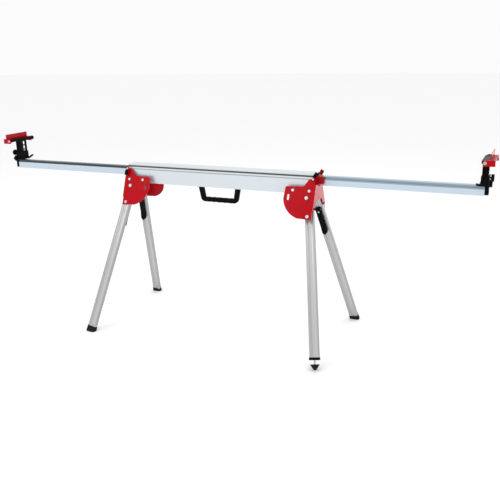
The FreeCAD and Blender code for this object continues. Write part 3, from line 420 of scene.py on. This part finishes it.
def legRibs(corner, turn, reach):
    # two raised ribs down each broad face of the tube
    end = reach - (ribs["levelEndGap"] if corner == levelledCorner else ribs["endGap"])
    face = stand["legDepth"] / 2 - ribs["sunk"]
    top = stand["legDepth"] / 2 + ribs["proud"]
    mesh = bmesh.new()
    for x in ribs["places"]:
        for side, start in ((1, ribs["outerFrom"]), (-1, ribs["innerFrom"])):
            low, high = sorted((side * face, side * top))
            addBlock(mesh, (x - ribs["half"], -end, low), (x + ribs["half"], -start, high), ribs["rounding"])
    finishPiece(mesh, "legRibs_" + corner, "leg_" + corner, "grey_paint", legFinishes[corner], turn)


boot = {
    "wall": 0.002,
    "rise": 0.027,
    "toe": 0.006,
    "corner": 0.0065,
    "dome": 0.0085,
    "steps": 5,
    "waistAt": 0.019,
    "waistHalf": 0.0022,
    "pinch": 0.965,
    "rim": 0.0012,
    "rimSteps": 3,
}


def rubberBoot(corner, turn, reach):
    # a rounded sleeve with a domed sole and a pinched waist, cut off flat at the floor
    halfX, halfZ = stand["legWidth"] / 2 + boot["wall"], stand["legDepth"] / 2 + boot["wall"]
    toe, top = -reach - boot["toe"], -reach + boot["rise"]
    mesh = bmesh.new()
    addBlock(mesh, (-halfX, toe, -halfZ), (halfX, top, halfZ), boot["corner"], boot["steps"], along=1)
    roundOff(mesh, levelEdges(mesh, toe), boot["dome"], boot["steps"], clamp=True)
    for gap in (-boot["waistHalf"], 0, boot["waistHalf"]):
        middle = (0, -reach + boot["waistAt"] + gap, 0)
        cut = bmesh.ops.bisect_plane(mesh, geom=wholeOf(mesh), plane_co=middle, plane_no=(0, 1, 0))
        if gap == 0:
            for vert in cut["geom_cut"]:
                if isinstance(vert, bmesh.types.BMVert):
                    vert.co.x *= boot["pinch"]
                    vert.co.z *= boot["pinch"]
    roundOff(mesh, levelEdges(mesh, top), boot["rim"], boot["rimSteps"])
    bmesh.ops.transform(mesh, matrix=turn, verts=mesh.verts)
    cut = bmesh.ops.bisect_plane(mesh, geom=wholeOf(mesh), plane_co=(0, 0, 0), plane_no=(0, 0, -1),
                                 clear_outer=True)
    openEdges = [edge for edge in cut["geom_cut"] if isinstance(edge, bmesh.types.BMEdge)]
    bmesh.ops.contextual_create(mesh, geom=openEdges)
    piece = finishPiece(mesh, "rubberBoot_" + corner, "leg_" + corner, "black_rubber")
    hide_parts("boot_" + corner)


# painted highlight: measures of the bright sleeve above each boot
highlightBandTrim = {"rise": 0.0095, "proud": 0.0008, "sunk": 0.002, "corner": 0.0055, "steps": 4}


def bootHighlightBand(corner, turn, reach):
    # a bright zinc sleeve just above the boot, standing in for a painted highlight ring there
    halfX = stand["legWidth"] / 2 + highlightBandTrim["proud"]
    halfZ = stand["legDepth"] / 2 + highlightBandTrim["proud"]
    bootTop = -reach + boot["rise"]
    mesh = bmesh.new()
    addBlock(mesh, (-halfX, bootTop - highlightBandTrim["sunk"], -halfZ), (halfX, bootTop + highlightBandTrim["rise"], halfZ),
             highlightBandTrim["corner"], highlightBandTrim["steps"], along=1)
    finishPiece(mesh, "bootHighlightBand_" + corner, "leg_" + corner, "bright_zinc", matrix=turn)


for corner, (side, layer, turned) in corners.items():
    legRibs(corner, legMatrix(corner), stand[layer]["reach"])
    if corner != levelledCorner:
        rubberBoot(corner, legMatrix(corner), stand[layer]["reach"])
        bootHighlightBand(corner, legMatrix(corner), stand[layer]["reach"])

print("stage: levers and cams")
leverGrip = {
    "from": 0.165,
    "step": 0.0072,
    "count": 6,
    "halfWidth": 0.0092,
    "half": 0.0015,
    "face": 0.0236,
    "flareFrom": 0.159,
    "flare": 7 / 48,  # how fast the lever leans away from the leg below flareFrom
    "proud": 0.0011,
    "sunk": 0.001,
    "rounding": 0.0007,
}
camGrip = {
    "pivotX": 0.491,
    "pivotDrop": 0.004,
    "plate": 0.0035,
    "leanLow": 4,
    "leanHigh": 152,
    "top": 0.0165,
    "halfWidth": 0.0058,
    "from": 0.0145,
    "step": 0.004,
    "count": 4,
    "half": 0.0008,
    "proud": 0.0006,
    "sunk": 0.001,
    "rounding": 0.0004,
}


def leverRidges(corner):
    # thumb ridges across the lower end of a lock lever
    mesh = bmesh.new()
    for count in range(leverGrip["count"]):
        down = leverGrip["from"] + count * leverGrip["step"]
        face = leverGrip["face"] + max(0, down - leverGrip["flareFrom"]) * leverGrip["flare"]
        low = (-leverGrip["halfWidth"], -down - leverGrip["half"], -face - leverGrip["proud"])
        high = (leverGrip["halfWidth"], -down + leverGrip["half"], -face + leverGrip["sunk"])
        addBlock(mesh, low, high, leverGrip["rounding"])
    finishPiece(mesh, "leverRidges_" + corner, "lever_" + corner, "black_plastic", matrix=legMatrix(corner))


def camRidges(corner, side, layer, turned):
    # ridges on a cam lever's grip; the two cams on the stand's right-hand end rest raised
    raised = (side == 1) != turned
    lean = camGrip["leanHigh"] if raised else camGrip["leanLow"]
    pivot = Matrix.Translation((side * camGrip["pivotX"], -camGrip["pivotDrop"], camGrip["plate"]))
    turn = plateMatrix(layer, turned) @ pivot @ Matrix.Rotation(math.radians(side * lean), 4, "Z")
    mesh = bmesh.new()
    for count in range(camGrip["count"]):
        down = camGrip["from"] + count * camGrip["step"]
        low = (-camGrip["halfWidth"], -down - camGrip["half"], camGrip["top"] - camGrip["sunk"])
        high = (camGrip["halfWidth"], -down + camGrip["half"], camGrip["top"] + camGrip["proud"])
        addBlock(mesh, low, high, camGrip["rounding"])
    finishPiece(mesh, "camRidges_" + corner, "cam_" + corner, "black_plastic", matrix=turn)


for corner, (side, layer, turned) in corners.items():
    leverRidges(corner)
    camRidges(corner, side, layer, turned)

print("stage: knobs")
knurl = {"count": 18, "half": 0.0009, "proud": 0.0006, "sunk": 0.001, "endGap": 0.0012, "rounding": 0.0005}
knobs = (("height_knob_", "heightKnobRibs_", 0, 0.012), ("stop_knob_", "stopKnobRibs_", 1, 0.018))


def knobRibs(knob, name, axis, length):
    # ribs round a knob whose shaft lies along X (axis 0) or Y (axis 1)
    low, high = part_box(knob)
    middle = (low + high) / 2
    radius = (high.z - low.z) / 2
    outward = 1 if middle[axis] > 0 else -1
    far = high[axis] if outward > 0 else low[axis]
    shift = middle.copy()
    shift[axis] = 0
    across = 1 - axis
    first, last = [0, 0, 0], [0, 0, 0]
    ends = (knurl["endGap"], length - knurl["endGap"])
    first[axis], last[axis] = sorted(far - outward * distance for distance in ends)
    first[across], last[across] = -knurl["half"], knurl["half"]
    first[2], last[2] = radius - knurl["sunk"], radius + knurl["proud"]
    mesh = bmesh.new()
    for count in range(knurl["count"]):
        rib = bmesh.new()
        addBlock(rib, first, last, knurl["rounding"])
        turn = Matrix.Rotation(math.tau * count / knurl["count"], 4, "XY"[axis])
        bmesh.ops.transform(rib, matrix=Matrix.Translation(shift) @ turn, verts=rib.verts)
        held = bpy.data.meshes.new("held")
        rib.to_mesh(held)
        rib.free()
        mesh.from_mesh(held)
        bpy.data.meshes.remove(held)
    finishPiece(mesh, name, knob, "black_plastic")


for knob, label, axis, length in knobs:
    for end in ("right", "left"):
        knobRibs(knob + end, label + end, axis, length)

print("stage: bracket trim")
webFace = 0.5028  # outer face of each end plate
nub = {"y": 0.067, "z": 0.661, "radius": 0.0045, "height": 0.005, "rounding": 0.0016}
rivet = {
    "places": ((0.027, 0.686), (-0.027, 0.686), (0.0, 0.745)),
    "radius": 0.0032,
    "topRadius": 0.00224,
    "height": 0.0016,
    "rounding": 0.0007,
}
for end, name in ((1, "right"), (-1, "left")):
    mesh = bmesh.new()
    for side in (1, -1):
        spot = (end * webFace, side * nub["y"], nub["z"])
        addDisc(mesh, spot, (end, 0, 0), nub["radius"], nub["height"], nub["rounding"], nub["radius"])
    finishPiece(mesh, "webNubs_" + name, "stand", "black_rubber")
    mesh = bmesh.new()
    for y, z in rivet["places"]:
        addDisc(mesh, (end * webFace, y, z), (end, 0, 0), rivet["radius"], rivet["height"],
                rivet["rounding"], rivet["topRadius"])
    finishPiece(mesh, "webRivets_" + name, "stand", "dark_steel")

print("stage: carry handle")
handle = {
    "top": 0.720,
    "bottom": 0.642,
    "halfTop": 0.099,
    "halfBottom": 0.087,
    "grip": 0.024,
    "depth": 0.0238,
    "sunk": 0.001,
    "sideSteps": 4,
    "sideHigh": 0.0245,
    "sideTaper": 0.001,
    "cornerRadius": 0.0135,
    "cornerHigh": 0.0235,
    "cornerSteps": 7,
    "gripHigh": 0.0216,
    "gripSteps": 60,
    "waves": 5,
    "wave": 0.0011,
    "sides": 24,
    "squareness": 0.45,  # 1 gives an ellipse, less squares it off
}
flange = {"thick": 0.006, "inner": 0.0805, "outer": 0.117, "gap": 0.0002, "rounding": 0.0015, "steps": 3}


def gripSection(mesh, where, across, high, deep):
    # one rounded ring of the handle; across points from its inner side to its outer one
    ring = bmesh.ops.create_circle(mesh, cap_ends=False, radius=1, segments=handle["sides"])["verts"]
    for vert in ring:
        for axis in (0, 1):
            value = vert.co[axis]
            vert.co[axis] = math.copysign(abs(value) ** handle["squareness"], value)
    deepward = Vector((0, 1, 0))
    turn = Matrix((across * high / 2, deepward * deep / 2, across.cross(deepward))).transposed()
    bmesh.ops.transform(mesh, matrix=Matrix.Translation(where) @ turn.to_4x4(), verts=ring)
    return list(set(edge for vert in ring for edge in vert.link_edges))


def handleStations():
    # centre, outward direction and height of each ring: down one side, round the corner, along
    # the grip with its finger waves, and back up the mirrored side
    radius = handle["cornerRadius"]
    level = handle["bottom"] + handle["grip"] / 2
    start = handle["top"] - handle["sunk"]
    slope = math.atan2(handle["halfTop"] - handle["halfBottom"], handle["top"] - level)
    stations = []
    for count in range(handle["sideSteps"] + 1):
        share = count / handle["sideSteps"]
        z = start - share * (start - level - radius)
        x = -handle["halfTop"] + (handle["top"] - z) * math.tan(slope)
        outward = Vector((-math.cos(slope), 0, -math.sin(slope)))
        stations.append((Vector((x, 0, z)), outward, handle["sideHigh"] - handle["sideTaper"] * share))
    centre = Vector((x + radius, 0, level + radius))
    for count in range(1, handle["cornerSteps"] + 1):
        angle = slope + count / handle["cornerSteps"] * (math.pi / 2 - slope)
        outward = Vector((-math.cos(angle), 0, -math.sin(angle)))
        stations.append((centre + outward * radius, outward, handle["cornerHigh"]))
    gripStart = stations[-1][0].x
    mirrored = [(Vector((-w.x, 0, w.z)), Vector((-a.x, 0, a.z)), h) for w, a, h in reversed(stations)]
    for count in range(1, handle["gripSteps"]):
        share = count / handle["gripSteps"]
        swell = 1 - math.cos(math.tau * share * handle["waves"])
        where = Vector((gripStart * (1 - 2 * share), 0, level))
        stations.append((where, Vector((0, 0, -1)), handle["gripHigh"] + handle["wave"] * swell))
    return stations + mirrored


mesh = bmesh.new()
rings = [gripSection(mesh, where, across, high, handle["depth"]) for where, across, high in handleStations()]
for first, second in zip(rings, rings[1:]):
    bmesh.ops.bridge_loops(mesh, edges=first + second)
for ring in (rings[0], rings[-1]):
    bmesh.ops.contextual_create(mesh, geom=ring)
for side in (1, -1):
    low, high = sorted((side * flange["inner"], side * flange["outer"]))
    addBlock(mesh, (low, -handle["depth"] / 2, handle["top"] - flange["thick"]),
             (high, handle["depth"] / 2, handle["top"] - flange["gap"]), flange["rounding"], flange["steps"])
piece = finishPiece(mesh, "gripHandle", "stand", "black_plastic")
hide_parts("carry_handle")

print("stage: floor, lights and camera")
room = {"floorSize": 30, "floorTone": (0.97, 0.97, 0.97), "worldStrength": 0.97, "aim": (0, 0, 0.6)}
floorMesh = bmesh.new()
bmesh.ops.create_grid(floorMesh, x_segments=1, y_segments=1, size=room["floorSize"])
floorData = bpy.data.meshes.new("floor")
floorMesh.to_mesh(floorData)
floorMesh.free()
floor = bpy.data.objects.new("floor", floorData)
scene.collection.objects.link(floor)
floorFinish = Finish("paleFloor")
floorFinish.set(colour=shade(room["floorTone"]), roughness=0.9, specular=0.1)
floor.data.materials.append(floorFinish.material)

lights = {
    "key": {"at": (-2.2, -3.4, 3.6), "size": 2.6, "watts": 34},
    "fill": {"at": (3.2, -2.6, 2.2), "size": 2.4, "watts": 6},
    "top": {"at": (0.2, 0.6, 4.2), "size": 3.6, "watts": 30},
    "sheen": {"at": (1.357, 2.56, 0.30), "size": 0.56, "watts": 4},  # pale highlight on an end plate
}
for name, light in lights.items():
    data = bpy.data.lights.new(name, "AREA")
    data.shape = "DISK"
    data.size = light["size"]
    data.energy = light["watts"]
    lamp = bpy.data.objects.new(name, data)
    lamp.location = light["at"]
    aim = Vector(room["aim"]) - Vector(light["at"])
    lamp.rotation_euler = aim.to_track_quat("-Z", "Y").to_euler()
    scene.collection.objects.link(lamp)

world = bpy.data.worlds.new("paleRoom")
scene.world = world
world.use_nodes = True
background = world.node_tree.nodes["Background"]
background.inputs["Color"].default_value = (1, 1, 1, 1)
background.inputs["Strength"].default_value = room["worldStrength"]
scene.view_settings.view_transform = "Standard"

shot = {
    "at": (1.45216, -2.84170, 1.36297),
    "azimuth": 24.56,
    "elevation": 16.864,
    "roll": -1.3276,
    "lens": 48.30,
    "sensor": 36,
}
azimuth, elevation, roll = (math.radians(shot[name]) for name in ("azimuth", "elevation", "roll"))
outward = Vector((math.sin(azimuth), -math.cos(azimuth), 0)) * math.cos(elevation)
back = outward + Vector((0, 0, math.sin(elevation)))
right = Vector((math.cos(azimuth), math.sin(azimuth), 0))
upward = back.cross(right)
tiltedRight = right * math.cos(roll) + upward * math.sin(roll)
tiltedUp = upward * math.cos(roll) - right * math.sin(roll)
turn = Matrix((tiltedRight, tiltedUp, back)).transposed().to_4x4()
lensData = bpy.data.cameras.new("studioCamera")
lensData.lens = shot["lens"]
lensData.sensor_width = shot["sensor"]
camera = bpy.data.objects.new("studioCamera", lensData)
camera.matrix_world = Matrix.Translation(shot["at"]) @ turn
scene.collection.objects.link(camera)
scene.camera = camera

print("stage: done")
